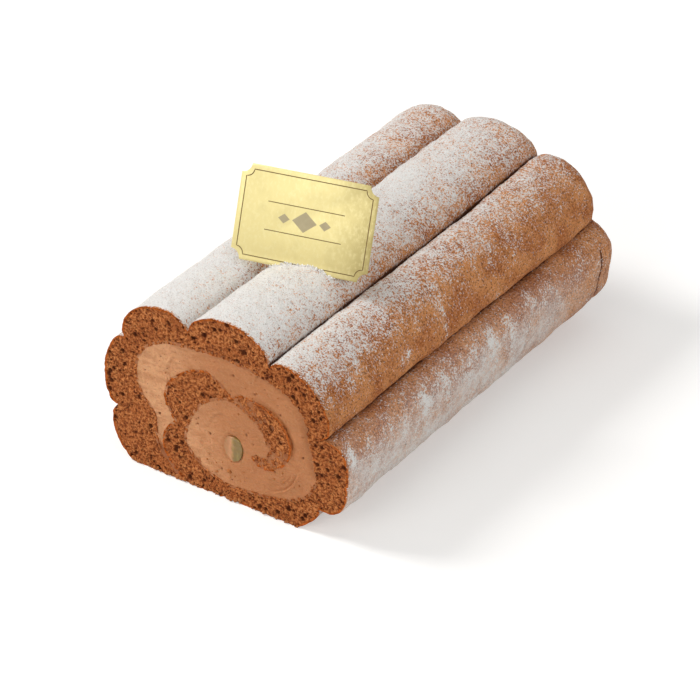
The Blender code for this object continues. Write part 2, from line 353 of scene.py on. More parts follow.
def noise_at(places, size, seed=0.0):
    """Smooth noise, about -1 to 1, with features of this size in millimetres."""
    shift = Vector((seed * 3.7, seed * 1.9, seed * 2.3))
    return np.array([noise.noise(Vector(place) / size + shift) for place in places])


def make_piece(name, vertices, faces, materials, attributes=(), smooth=True, sharp=None):
    """A mesh object in metres that rides on the roll. attributes holds (name, values) for its vertices."""
    mesh = bpy.data.meshes.new(name)
    mesh.from_pydata((np.asarray(vertices) * MM).tolist(), [], faces)
    for title, values in attributes:
        layer = mesh.attributes.new(title, "FLOAT", "POINT")
        layer.data.foreach_set("value", np.asarray(values, np.float32))
    if smooth:
        mesh.shade_smooth()
    if sharp:
        mesh.set_sharp_from_angle(angle=math.radians(sharp))
    for material in materials:
        mesh.materials.append(material)
    mesh.update()
    piece = bpy.data.objects.new(name, mesh)
    bpy.context.scene.collection.objects.link(piece)
    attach(piece, "root")
    return piece


def linear(red, green, blue):
    """An sRGB colour, each value from 0 to 255, as linear light."""
    values = [value / 255 for value in (red, green, blue)]
    return (*((v / 12.92 if v < 0.04045 else ((v + 0.055) / 1.055) ** 2.4) for v in values), 1)


class Material:
    """A Principled material with a few short ways of adding nodes."""

    def __init__(self, name, roughness, specular=0.4):
        self.made = bpy.data.materials.new(name)
        self.made.use_nodes = True
        self.tree = self.made.node_tree
        self.shader = self.tree.nodes["Principled BSDF"]
        self.shader.inputs["Roughness"].default_value = roughness
        self.shader.inputs["Specular IOR Level"].default_value = specular

    def add(self, kind, settings=None, **sockets):
        """A node with these settings and inputs. An input is a value, or an output to link from."""
        node = self.tree.nodes.new(kind)
        for name, value in (settings or {}).items():
            setattr(node, name, value)
        for name, value in sockets.items():
            numbered = name[0] == "i" and name[1:].isdigit()
            socket = node.inputs[int(name[1:]) if numbered else name]
            self.put(socket, value)
        return node

    def put(self, socket, value):
        if isinstance(value, bpy.types.NodeSocket):
            self.tree.links.new(value, socket)
        else:
            socket.default_value = value

    def place(self):
        return self.add("ShaderNodeTexCoord").outputs["Object"]

    def attribute(self, name):
        return self.add("ShaderNodeAttribute", {"attribute_name": name}).outputs["Fac"]

    def noise(self, size, detail=2.0, rough=0.5, stretch=(1, 1, 1)):
        """Noise with features of this size in millimetres, as an output from 0 to 1."""
        place = self.add("ShaderNodeMapping", i0=self.place(), i3=stretch).outputs[0]
        scale = 1 / (size * MM)
        node = self.add("ShaderNodeTexNoise", Vector=place, Scale=scale, Detail=detail, Roughness=rough)
        return node.outputs["Fac"]

    def sum(self, a, b, way="ADD"):
        return self.add("ShaderNodeMath", {"operation": way}, i0=a, i1=b).outputs[0]

    def step(self, value, low, high, out_low=0.0, out_high=1.0):
        """The value mapped from low..high to out_low..out_high, smoothly and clamped."""
        sockets = {"From Min": low, "From Max": high, "To Min": out_low, "To Max": out_high}
        node = self.add("ShaderNodeMapRange", {"interpolation_type": "SMOOTHSTEP"}, Value=value, **sockets)
        return node.outputs["Result"]

    def mix(self, share, a, b, way="MIX"):
        node = self.add("ShaderNodeMix", {"data_type": "RGBA", "blend_type": way})
        self.put(node.inputs[0], share)
        self.put(node.inputs[6], a)
        self.put(node.inputs[7], b)
        return node.outputs[2]

    def bump(self, height, depth, before=None):
        """A bump of this depth in millimetres."""
        node = self.add("ShaderNodeBump", Height=height, Distance=depth * MM)
        if before is not None:
            self.put(node.inputs["Normal"], before)
        return node.outputs["Normal"]

    def set(self, **sockets):
        for name, value in sockets.items():
            self.put(self.shader.inputs[name.replace("_", " ")], value)
        return self.made


# ---------------------------------------------------------------- materials

SUGAR_WHITE = linear(236, 233, 229)
# painted shade: the grey-brown of the shadows among the sugar grains
SUGAR_PAINTED_SHADE = linear(128, 98, 78)
CRUST_TAN = linear(214, 146, 90)
CRUST_BROWN = linear(174, 102, 52)
# the crust's own dark brown, also used for painted shade in the grain's hollows, the pits and the grooves'
# cracks
CRUST_DARK_AND_SHADE = linear(92, 46, 18)
CRUMB_LIGHT = linear(220, 142, 82)
CRUMB_MID = linear(172, 93, 44)
# the crumb's own dark brown, also used for painted shade in its pores and hollows
CRUMB_DARK_AND_SHADE = linear(82, 34, 12)
CRUMB_RIM = linear(196, 98, 30)
CREAM_LIGHT = linear(218, 160, 114)
CREAM_MID = linear(188, 124, 78)
CREAM_DEEP = linear(176, 112, 66)
# painted shade of the cream's air holes
CREAM_HOLE_SHADE = linear(128, 76, 44)


def crust_material():
    """Browned crust under powdered sugar, whose amount is the sugar attribute."""
    m = Material("browned_crust", 0.85, 0.25)
    blotches = m.step(m.noise(11, 3), 0.32, 0.68)
    crust = m.mix(blotches, CRUST_BROWN, CRUST_TAN)
    grain = m.noise(0.75, 3, 0.65)
    crust = m.mix(m.step(grain, 0.5, 0.68, 0, 0.75), crust, CRUST_TAN)
    # darker where the grain, which is also the bump's height, is low: partly the crust's own tone, partly
    # painted shade in the hollows
    crust = m.mix(m.step(grain, 0.5, 0.34, 0, 0.80), crust, CRUST_DARK_AND_SHADE)
    # painted shade: dark dots for tiny pits, which have no depth of their own
    painted_pit_shade = m.step(m.noise(1.0, 1, 0.5), 0.68, 0.75)
    crust = m.mix(m.sum(painted_pit_shade, 0.85, "MULTIPLY"), crust, CRUST_DARK_AND_SHADE)

    # Sugar: a soft dusting that thickens to a cover, broken by the crust's grain
    sugar = m.attribute("sugar")
    powder = m.noise(0.68, 3, 0.68)
    clumps = m.noise(2.4, 2, 0.5)
    uneven = m.sum(m.sum(powder, 3.9, "MULTIPLY"), m.sum(clumps, 0.9, "MULTIPLY"))
    amount = m.sum(m.sum(sugar, 1.45, "MULTIPLY"), m.sum(uneven, 2.62, "SUBTRACT"))
    thin = m.step(sugar, 0.0, 0.07)
    cover = m.sum(m.step(amount, 0.20, 0.95), thin, "MULTIPLY")
    film = m.sum(m.attribute("film"), m.step(m.noise(1.5, 3, 0.6), 0.3, 0.7, 0.6, 1.0), "MULTIPLY")
    cover = m.sum(cover, film, "MAXIMUM")
    colour = m.mix(cover, crust, SUGAR_WHITE)
    # Painted shade: grey-brown spots in the thickest powder, standing in for the shadows among its grains
    shade = m.sum(m.step(powder, 0.56, 0.66, 0, 0.42), m.step(sugar, 0.2, 0.7), "MULTIPLY")
    colour = m.mix(shade, colour, SUGAR_PAINTED_SHADE)

    # The groove's crack: painted shade, dark and with ragged edges, over the sunk groove
    crack = m.sum(m.attribute("crack"), m.sum(m.noise(1.3, 3, 0.6), 0.5, "MULTIPLY"))
    colour = m.mix(m.step(crack, 0.84, 1.02, 0, 0.95), colour, CRUST_DARK_AND_SHADE)
    bump = m.bump(grain, 0.40)
    bump = m.bump(powder, 0.45, before=bump)
    bump = m.bump(clumps, 0.50, before=bump)
    return m.set(Base_Color=colour, Normal=bump)


def crumb_material():
    """The open crumb of the cut face, with painted shade in its pores and hollows: pore says how deep a pore
    is, and rim how near the crust is.
    """
    m = Material("open_crumb", 0.9, 0.2)
    fine = m.noise(1.0, 4, 0.78)
    colour = m.mix(m.step(fine, 0.46, 0.60), CRUMB_MID, CRUMB_LIGHT)
    colour = m.mix(m.step(m.noise(6, 2), 0.4, 0.7, 0, 0.5), colour, CRUMB_MID)
    ragged = m.sum(m.attribute("rim"), m.sum(m.noise(1.1, 2), 0.5, "SUBTRACT"), "ADD")
    colour = m.mix(m.step(ragged, 0.35, 0.75, 0, 0.85), colour, CRUMB_RIM)
    # darker where the crumb's bump is low: partly its own tone, partly painted shade in the hollows
    colour = m.mix(m.step(fine, 0.48, 0.36, 0, 0.85), colour, CRUMB_DARK_AND_SHADE)
    # painted shade: dark dots for small pores, which have no depth of their own
    painted_hole_shade = m.step(m.noise(0.9, 1, 0.5), 0.62, 0.70, 0, 0.7)
    colour = m.mix(painted_hole_shade, colour, CRUMB_DARK_AND_SHADE)
    # painted shade: darker the deeper a pore is
    colour = m.mix(m.step(m.attribute("pore"), 0.08, 0.6, 0, 0.85), colour, CRUMB_DARK_AND_SHADE)
    bump = m.bump(fine, 0.9)
    return m.set(Base_Color=colour, Normal=bump)


def cream_material():
    """Whipped chocolate cream, a little uneven in colour, with painted light that makes it lighter on the
    left and darker to the right, and painted shade in its air holes.
    """
    m = Material("chocolate_cream", 0.6, 0.3)
    # painted light: lighter to the left and darker to the right, where less light falls; the deep attribute
    # holds the share
    colour = m.mix(m.attribute("deep"), CREAM_LIGHT, CREAM_MID)
    swirl = m.step(m.noise(5, 3, 0.55, (1, 1, 1.7)), 0.42, 0.68, 0, 0.5)
    colour = m.mix(swirl, colour, CREAM_DEEP)
    grain = m.noise(0.8, 4, 0.65)
    colour = m.mix(m.step(grain, 0.5, 0.35, 0, 0.35), colour, CREAM_DEEP)
    colour = m.mix(m.step(grain, 0.55, 0.7, 0, 0.35), colour, CREAM_LIGHT)
    # painted shade: dark dots for tiny air holes, which have no depth of their own
    painted_hole_shade = m.step(m.noise(0.8, 1, 0.5), 0.70, 0.76, 0, 0.7)
    colour = m.mix(painted_hole_shade, colour, CREAM_HOLE_SHADE)
    ragged = m.sum(m.attribute("soak"), m.sum(m.noise(1.4, 3), 0.5, "SUBTRACT"), "ADD")
    colour = m.mix(m.step(ragged, 0.6, 1.25, 0, 0.9), colour, linear(152, 86, 44))
    # painted shade: darker the deeper an air hole is
    colour = m.mix(m.step(m.attribute("pore"), 0.1, 0.6), colour, CREAM_HOLE_SHADE)
    m.shader.inputs["Subsurface Weight"].default_value = 0.15
    m.shader.inputs["Subsurface Scale"].default_value = 0.0015
    bump = m.bump(grain, 0.34)
    bump = m.bump(m.noise(2.2, 2, 0.5, (1, 1, 2.2)), 0.34, before=bump)
    return m.set(Base_Color=colour, Normal=bump)


def chestnut_material():
    """A moist piece of chestnut: olive at its bare side, and paler where cream clings to it."""
    m = Material("candied_chestnut", 0.35, 0.5)
    pale = m.sum(m.attribute("bare"), m.sum(m.noise(2.4, 3), 0.5, "SUBTRACT"))
    colour = m.mix(m.step(pale, 0.30, 0.95), linear(188, 130, 82), linear(132, 106, 50))
    streak = m.step(m.noise(2.0, 2, 0.5, (1, 1, 0.4)), 0.52, 0.64, 0, 0.35)
    colour = m.mix(streak, colour, linear(168, 146, 78))
    m.shader.inputs["Subsurface Weight"].default_value = 0.15
    m.shader.inputs["Subsurface Scale"].default_value = 0.002
    return m.set(Base_Color=colour, Normal=m.bump(m.noise(1.5, 2), 0.2))


def plain_sugar():
    m = Material("powdered_sugar", 0.8, 0.3)
    tone = m.mix(m.noise(0.5, 2), linear(232, 228, 222), linear(246, 245, 243))
    return m.set(Base_Color=tone)


def plain_crumb():
    m = Material("loose_crumb", 0.9, 0.2)
    tone = m.mix(m.noise(0.6, 3), CRUMB_DARK_AND_SHADE, CRUMB_LIGHT)
    return m.set(Base_Color=tone, Normal=m.bump(m.noise(0.5, 3), 0.2))


def gold_material():
    """Satin gold foil on card, faintly brushed and uneven, with a painted reflection: lighter at its
    left-hand end and darker towards its right-hand end.
    """
    m = Material("gold_foil", 0.42, 0.5)
    # painted reflection: the foil darkens along the card from its left-hand end to its right-hand end
    yaw = math.radians(CARD_YAW)
    along = (math.cos(yaw), math.sin(yaw), 0)
    dot = {"operation": "DOT_PRODUCT"}
    reach = m.add("ShaderNodeVectorMath", dot, i0=m.place(), i1=along).outputs["Value"]
    half = CARD_WIDTH / 2 * MM
    uneven = m.sum(m.noise(7, 3), 0.5, "SUBTRACT")
    end = m.sum(m.step(reach, -0.2 * half, 1.1 * half), m.sum(uneven, 0.5, "MULTIPLY"))
    colour = m.mix(end, linear(230, 214, 148), linear(146, 126, 62))
    rub = m.step(m.noise(1.1, 4, 0.6, (1, 1, 0.5)), 0.45, 0.7, 0, 0.35)
    colour = m.mix(rub, colour, linear(240, 228, 172))
    m.shader.inputs["Metallic"].default_value = 0.3
    rough = m.step(m.noise(2.5, 4, 0.6), 0.3, 0.7, 0.38, 0.5)
    return m.set(Base_Color=colour, Roughness=rough, Normal=m.bump(m.noise(1.2, 3), 0.03))


def ink_material():
    m = Material("brown_ink", 0.45, 0.4)
    tone = m.mix(m.noise(1.5, 2), linear(98, 74, 24), linear(122, 96, 38))
    return m.set(Base_Color=tone)


def grey_ink_material():
    m = Material("pewter_ink", 0.5, 0.4)
    tone = m.mix(m.noise(2, 2), linear(166, 152, 118), linear(182, 168, 132))
    return m.set(Base_Color=tone)


# ---------------------------------------------------------------- the sponge


def relief(places):
    """How far the crust stands out at these places: slow swells, then finer lumps."""
    slow = 0.50 * noise_at(places, 14, 1)
    lumps = 0.32 * noise_at(places, 4.4, 2)
    grain = 0.18 * noise_at(places, 2.0, 3)
    low = ramp(np.asarray(places)[:, 2], 0.2, 2.0)
    return (slow + lumps + grain) * low


PORES = (  # size of a cell, share of the cells that are open, depth
    (0.95, 0.75, 0.45),
    (1.5, 0.50, 0.65),
    (2.8, 0.40, 1.20),
)


def pore_depth(x, z):
    """How deep the crumb is open at a place on the cut face: round pores of three sizes."""
    depth = np.zeros(len(x))
    for number, (size, share, deepest) in enumerate(PORES):
        for i in range(len(x)):
            away, centres = noise.voronoi(Vector((x[i] / size, 5.0 * number, z[i] / size)))
            here = centres[0]
            luck = math.sin(here.x * 12.99 + here.y * 37.7 + here.z * 78.23) * 4375.85
            luck -= math.floor(luck)
            if luck < share:
                radius = 0.34 + 0.5 * luck / share * (1 - luck / share)
                depth[i] = max(depth[i], deepest * (1 - ramp(away[0], radius * 0.4, radius)))
    return depth


def crust_sugar(rows):
    """The sugar and film on each vertex of the crust rows, from the fingers' tables and soft patches."""
    steps = SHEET_STEPS
    shares = spread(steps, CLOSER)
    along = (rows[:, :, 1] - CUT_Y) / (FAR_Y - CUT_Y)
    sugar = np.zeros(along.shape)
    film = np.zeros(along.shape)
    for number, (name, tables) in enumerate(SUGAR.items()):
        part = slice(number * steps, (number + 1) * steps + 1)
        near, middle, far = (np.interp(shares, np.linspace(0, 1, len(t)), t) for t in tables)
        place = along[:, part]
        early = near + (middle - near) * ramp(place, 0.05, 0.55)
        sugar[:, part] = early + (far - middle) * ramp(place, 0.55, 0.95)
        if name in FILM:
            table = np.interp(shares, np.linspace(0, 1, len(FILM[name])), FILM[name])
            film[:, part] = table * (1 - 0.8 * ramp(place, 0.66, 0.9))
    flat = rows.reshape(-1, 3)
    patches = noise_at(flat, 9, 6).reshape(along.shape)
    fine = noise_at(flat, 3.0, 7).reshape(along.shape)
    some = ramp(sugar, 0.02, 0.15)
    sugar = sugar + (SUGAR_PATCHES * patches + 0.10 * fine) * some
    film = film * (1 + 0.5 * patches + 0.5 * fine)
    streaks = noise_at(flat * np.array([0.30, 1, 0.30]), 3.8, 16).reshape(along.shape)
    for name, low, high, much in STREAKS:
        number = list(SUGAR).index(name)
        part = slice(number * steps, (number + 1) * steps + 1)
        band = ramp(shares, low - 0.12, low + 0.08) * (1 - ramp(shares, high - 0.08, high + 0.12))
        fade = 1 - ramp(along[:, part], 0.62, 0.85)
        sugar[:, part] += much * band * fade * ramp(streaks[:, part], -0.05, 0.5)
    for name, share, y, wide, long, much in SMEARS:
        number = list(SUGAR).index(name)
        column = number * steps + int(np.argmin(np.abs(shares - share)))
        middle = rows[:, column]
        row = int(np.argmin(np.abs(middle[:, 1] - y)))
        away = rows - middle[row]
        across = np.hypot(away[:, :, 0], away[:, :, 2]) / wide
        spot = np.exp(-(across**2) - (away[:, :, 1] / long) ** 2)
        sugar = sugar + 0.85 * much * spot * (0.8 + 1.0 * fine)
    return np.clip(sugar, 0, 1), np.clip(film, 0, 1)


def groove_distance(section):
    """How far each point of the crust's section is from its nearer groove, and that crack's depth and the
    darkness of its painted shade.
    """
    steps = SHEET_STEPS
    names = list(FINGERS)
    distance = np.full(len(section), 99.0)
    depth, dark = np.zeros(len(section)), np.zeros(len(section))
    lengths = np.concatenate([[0], np.cumsum(np.linalg.norm(np.diff(section, axis=0), axis=1))])
    for number, name in enumerate(names[:-1]):
        if name not in CRACKS:
            continue
        away = np.abs(lengths - lengths[(number + 1) * steps])
        nearer = away < distance
        distance = np.where(nearer, away, distance)
        depth = np.where(nearer, CRACKS[name][0], depth)
        dark = np.where(nearer, CRACKS[name][1], dark)
    return distance, depth, dark


def crust_rows():
    """The browned side as rows along the roll, before relief: its last rows close in to the round tips."""
    ends = sheet_ends(SHEET_STEPS)
    smooth = smooth_side(SHEET_STEPS)
    crease_share = (CREASE_Y - CUT_Y) / (FAR_Y - TIP_ROUND - CUT_Y)
    near_crease = crease_share + np.array([-0.9, -0.45, 0.45, 0.9]) / (FAR_Y - CUT_Y)
    shares = np.sort(np.concatenate([np.linspace(0, 1, ROLL_ROWS + 1), near_crease[near_crease < 1]]))
    angles = np.linspace(math.pi / 2, 0, TIP_ROWS + 1)[1:]
    places = [(share, TIP_ROUND) for share in shares]
    places += [(1, TIP_ROUND * (1 - math.cos(angle))) for angle in angles]
    rows = []
    for share, distance in places:
        browned = browned_side(CUT_Y + share * (FAR_Y - TIP_ROUND - CUT_Y), SHEET_STEPS)
        section = smooth + (browned - smooth) * thickness_left(distance)
        y = CUT_Y + share * (ends - distance - CUT_Y)
        rows.append(np.stack([section[:, 0], y, section[:, 1]], axis=1))
    return np.array(rows), smooth, ends


def row_normals(rows):
    """Outward unit normals on a grid of points, rows along the roll by columns round the sheet."""
    along = np.gradient(rows, axis=0)
    across = np.gradient(rows, axis=1)
    normals = np.cross(along, across)
    return normals / np.maximum(np.linalg.norm(normals, axis=2, keepdims=True), 1e-9)


def make_sponge():
    """One closed body: fine open crumb at the cut, browned crust with relief, and a plain smooth side."""
    rows, smooth, ends = crust_rows()
    normals = row_normals(rows)
    to_groove, crack_depth, crack_painted_shade = groove_distance(rows[0][:, [0, 2]])
    sugar, film = crust_sugar(rows)
    fine_smooth = smooth_side(SHEET_STEPS * FACE_FINER)
    fine_browned = browned_side(CUT_Y, SHEET_STEPS * FACE_FINER)
    columns, fine = rows.shape[1], len(fine_smooth)
    finer = np.arange(fine) / FACE_FINER
    coarse = np.arange(columns)

    # The crust gets its relief, its cracks and its crease
    flat = rows.reshape(-1, 3)
    lifted = relief(flat).reshape(rows.shape[:2])
    crease = crease_depth(rows)
    inward = np.stack([smooth[:, 0] - rows[0, :, 0], 0 * coarse, smooth[:, 1] - rows[0, :, 2]], axis=1)
    inward /= np.linalg.norm(inward, axis=1, keepdims=True)
    from_cut = rows[:, :, 1] - CUT_Y
    sink = crack_depth * np.exp(-((to_groove / CRACK_WIDTH) ** 2)) * (0.35 + 0.65 * ramp(from_cut, 0, 5))
    moved = rows + normals * (lifted - 0.9 * crease)[:, :, None] + inward[None] * sink[:, :, None]
    moved[:, :, 2] = np.maximum(moved[:, :, 2], 0)
    crust = moved[1:]
    # painted shade in the grooves' cracks, darkest at each groove and fading with distance from it
    crack = crack_painted_shade * np.clip(1 - to_groove / CRACK_SHADE_REACH, 0, 1) * np.ones((len(rows), 1))
    # painted shade in the crease near the far tip of the right-hand finger, over its sunk geometry
    crack = np.maximum(crack, 1.1 * ramp(crease, 0.2, 0.8))

    # The cut face: FACE_ROWS + 1 rows from the smooth side to the crust
    edge = np.stack([np.interp(finer, coarse, (moved - rows)[0, :, i]) for i in (0, 2)], axis=1)
    across = np.linspace(0, 1, FACE_ROWS + 1)[:, None, None]
    section = fine_smooth[None] + (fine_browned + edge - fine_smooth)[None] * across
    section[:, :, 1] = np.maximum(section[:, :, 1], 0)
    thick = np.linalg.norm(fine_browned - fine_smooth, axis=1)[None]
    to_crust = ((1 - across[:, :, 0]) * thick).ravel()
    to_cream = (across[:, :, 0] * thick).ravel()
    x, z = section[:, :, 0].ravel(), section[:, :, 1].ravel()
    places = np.stack([x, 0 * x, z], axis=1)
    pores = pore_depth(x, z) * ramp(to_crust, 0.0, 0.8)
    lumps = 0.22 * noise_at(places, 5, 8) + 0.30 * noise_at(places, 1.4, 9)
    ragged = 0.9 * noise_at(places, 1.6, 10) * (1 - ramp(to_cream, 0.7, 2.0))
    in_cream = np.tile(finer < SHEET_STEPS * len(FINGERS_IN_CREAM), FACE_ROWS + 1)
    ragged += 0.7 * noise_at(places, 1.6, 11) * (1 - ramp(to_crust, 0.5, 1.5)) * in_cream
    y = CUT_Y + 0.2 + pores + lumps + ragged
    face = np.stack([x, np.maximum(y, CUT_Y - 0.3), z], axis=1).reshape(FACE_ROWS + 1, fine, 3)
    rim = 1 - ramp(to_crust, 0.35, 1.5)
    far = np.stack([smooth[:, 0], ends, smooth[:, 1]], axis=1)

    vertices = np.vstack([face.reshape(-1, 3), crust.reshape(-1, 3), far])
    crust_start = face.shape[0] * fine
    far_start = crust_start + crust.shape[0] * columns
    faces, kinds = [], []

    def face_at(row, column):
        return row * fine + column

    def crust_at(row, column):
        if row == 0:
            return face_at(FACE_ROWS, column * FACE_FINER)
        return crust_start + (row - 1) * columns + column

    def put(kind, *corners):
        faces.append(corners)
        kinds.append(kind)

    for row in range(FACE_ROWS):
        for i in range(fine - 1):
            put(1, face_at(row, i), face_at(row, i + 1), face_at(row + 1, i + 1), face_at(row + 1, i))
    crust_count = crust.shape[0]
    for i in range(columns - 1):
        rim_run = [face_at(FACE_ROWS, i * FACE_FINER + k) for k in range(FACE_FINER + 1)]
        half = FACE_FINER // 2
        put(0, *rim_run[: half + 1], crust_at(1, i))
        put(0, *rim_run[half:], crust_at(1, i + 1))
        put(0, crust_at(1, i), rim_run[half], crust_at(1, i + 1))
        for row in range(1, crust_count):
            put(0, crust_at(row, i), crust_at(row, i + 1), crust_at(row + 1, i + 1), crust_at(row + 1, i))
        put(0, crust_at(crust_count, i), crust_at(crust_count, i + 1), far_start + i + 1, far_start + i)
        near = [face_at(0, i * FACE_FINER + k) for k in range(FACE_FINER + 1)]
        put(1, *reversed(near), far_start + i, far_start + i + 1)
    for column, turned in ((0, False), (columns - 1, True)):
        run = [face_at(row, column * FACE_FINER) for row in range(FACE_ROWS + 1)]
        run += [crust_at(row, column) for row in range(1, crust_count + 1)] + [far_start + column]
        put(1, *(reversed(run) if turned else run))

    blank_face, blank_far = np.zeros(len(x)), np.zeros(columns)
    row_sugar = sugar[1:].ravel()
    first = np.interp(finer, coarse, sugar[0])
    face_sugar = blank_face.copy()
    face_sugar[-fine:] = first * 0.3
    attributes = (
        ("sugar", np.concatenate([face_sugar, row_sugar, blank_far])),
        ("film", np.concatenate([blank_face, film[1:].ravel(), blank_far])),
        ("crack", np.concatenate([blank_face, crack[1:].ravel(), blank_far])),
        ("pore", np.concatenate([pores, np.zeros(crust_count * columns), blank_far])),
        ("rim", np.concatenate([rim, np.ones(crust_count * columns), blank_far])),
    )
    materials = (crust_material(), crumb_material())
    piece = make_piece("sponge_roll", vertices, faces, materials, attributes)
    piece.data.polygons.foreach_set("material_index", kinds)
    tidy_normals(piece)
    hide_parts("sponge")
    outer = slice(SHEET_STEPS * len(FINGERS_IN_CREAM), columns)
    bare = ramp(to_groove, 0.3, 1.2)
    return moved[:, outer], normals[:, outer], (sugar * bare)[:, outer]


def crease_depth(rows):
    """The crack near the far tip of the right-hand finger, from 0 to 1, on the crust's grid: it sinks the
    crust and sets the painted shade in it.
    """
    start = SHEET_STEPS * list(FINGERS).index("right")
    share = (np.arange(rows.shape[1]) - start) / SHEET_STEPS
    across = ramp(share, 0.12, 0.25) * (1 - ramp(share, 0.62, 0.76))
    place = rows[:, :, 1] - CREASE_Y - 0.5 * np.sin(rows[:, :, 2] / 4)
    return np.exp(-((place / 0.8) ** 2)) * across[None]


def tidy_normals(piece):
    """Makes the faces of a closed piece point outwards, and marks its sharp edges."""
    bm = bmesh.new()
    bm.from_mesh(piece.data)
    bmesh.ops.recalc_face_normals(bm, faces=bm.faces)
    bm.to_mesh(piece.data)
    bm.free()
    piece.data.set_sharp_from_angle(angle=math.radians(55))


# ---------------------------------------------------------------- the filling

CREAM_UNDER_CRUMB = 1.0
CHESTNUT_CENTRE = (3.2, CUT_Y + 1.0, 21.6)
CHESTNUT_SIZE = (8.4, 15.0, 10.4)
CHESTNUT_TURN = math.radians(24)


def cream_outline():
    """The space between the coils, a little over its solid's edge so that the cream clings to the crumb."""
    smooth = smooth_side(SHEET_STEPS)
    crust = browned_side(CUT_Y, SHEET_STEPS)
    last_finger = SHEET_STEPS * (len(FINGERS) - 1)
    low = [i for i in range(last_finger, len(smooth)) if smooth[i][1] < CREAM_END_Z]
    lower_inner = SHEET_STEPS * (len(FINGERS_IN_CREAM) - 1)
    facing = [i for i in range(lower_inner, len(crust)) if crust[i][1] < CREAM_END_Z]
    loop = np.vstack([smooth[: low[0]], crust[: facing[0]][::-1]])
    if signed_area(loop) < 0:
        loop = loop[::-1]
    return inset(loop, -CREAM_UNDER_CRUMB)


def filled_outline(outline, spacing):
    """The outline filled with triangles over a jittered grid: (points, triangles)."""
    low, high = outline.min(axis=0), outline.max(axis=0)
    grid = np.stack(np.meshgrid(np.arange(low[0], high[0], spacing), np.arange(low[1], high[1], spacing)), -1)
    grid = grid.reshape(-1, 2) + chance.uniform(-0.3, 0.3, (grid.size // 2, 2)) * spacing
    closed = np.vstack([outline, outline[:1]])
    inside = np.zeros(len(grid), bool)
    nearest = np.full(len(grid), 1e9)
    for a, b in zip(closed, closed[1:]):
        crosses = (a[1] > grid[:, 1]) != (b[1] > grid[:, 1])
        with np.errstate(divide="ignore", invalid="ignore"):
            where = (b[0] - a[0]) * (grid[:, 1] - a[1]) / (b[1] - a[1]) + a[0]
        inside ^= crosses & (grid[:, 0] < where)
        along = np.clip(((grid - a) @ (b - a)) / max((b - a) @ (b - a), 1e-9), 0, 1)
        nearest = np.minimum(nearest, np.linalg.norm(grid - a - along[:, None] * (b - a), axis=1))
    grid = grid[inside & (nearest > spacing * 0.45)]
    points = [Vector(p) for p in np.vstack([outline, grid])]
    count = len(outline)
    edges = [(i, (i + 1) % count) for i in range(count)]
    found, _, triangles, *_ = delaunay_2d_cdt(points, edges, [], 1, 1e-5)
    return np.array([tuple(p) for p in found]), [tuple(t) for t in triangles]


AIR_HOLES = 190
DRAG_ARCS = (  # marks left by the knife: centre x and z, radius, from and to degrees, height
    (-14.0, 44.0, 9.5, 130, 215, 0.30),
    (-12.0, 42.0, 12.6, 150, 205, 0.22),
    (-16.0, 40.0, 7.0, 60, 120, 0.18),
    (14.0, 26.0, 17.0, 285, 350, 0.30),
    (14.5, 26.5, 15.2, 290, 340, 0.24),
    (15.0, 26.0, 13.4, 300, 335, 0.20),
    (13.0, 27.0, 18.6, 300, 355, 0.20),
    (2.0, 26.0, 9.0, 95, 170, 0.18),
    (0.0, 24.0, 11.0, 190, 240, 0.20),
    (22.0, 40.0, 9.0, 20, 80, 0.20),
)


def cream_relief(places, outline):
    """Depth of the cream's cut face: knife drags, soft waves and air holes, and the holes alone."""
    points = np.stack([places[:, 0], np.zeros(len(places)), places[:, 1]], axis=1)
    stretched = points @ np.array([[0.86, 0, 0.5], [0, 1, 0], [-0.5, 0, 0.86]])
    drags = noise_at(stretched * np.array([0.35, 1, 1]), 2.0, 12)
    waves = noise_at(points, 7, 13)
    fine = noise_at(points, 0.9, 14)
    depth = 0.24 * drags + 0.26 * waves + 0.12 * fine
    for x, z, radius, start, end, height in DRAG_ARCS:
        away = places - np.array([x, z])
        turn = np.degrees(np.arctan2(away[:, 1], away[:, 0])) % 360
        inside = ramp(turn, start, start + 12) * (1 - ramp(turn, end - 12, end))
        ring = (np.linalg.norm(away, axis=1) - radius) / 0.45
        depth += 1.5 * height * inside * (np.exp(-((ring + 0.8) ** 2)) - np.exp(-(ring**2)))
    holes = np.zeros(len(places))
    low, high = outline.min(axis=0), outline.max(axis=0)
    for _ in range(AIR_HOLES):
        centre = np.array([rng.uniform(low[0], high[0]), rng.uniform(low[1], high[1])])
        radius = rng.choice((0.22, 0.28, 0.36, 0.5, 0.7))
        away = np.linalg.norm((places - centre) * np.array([1, rng.uniform(0.7, 1.4)]), axis=1)
        holes = np.maximum(holes, radius * (1 - ramp(away, radius * 0.3, radius)))
    return depth, holes


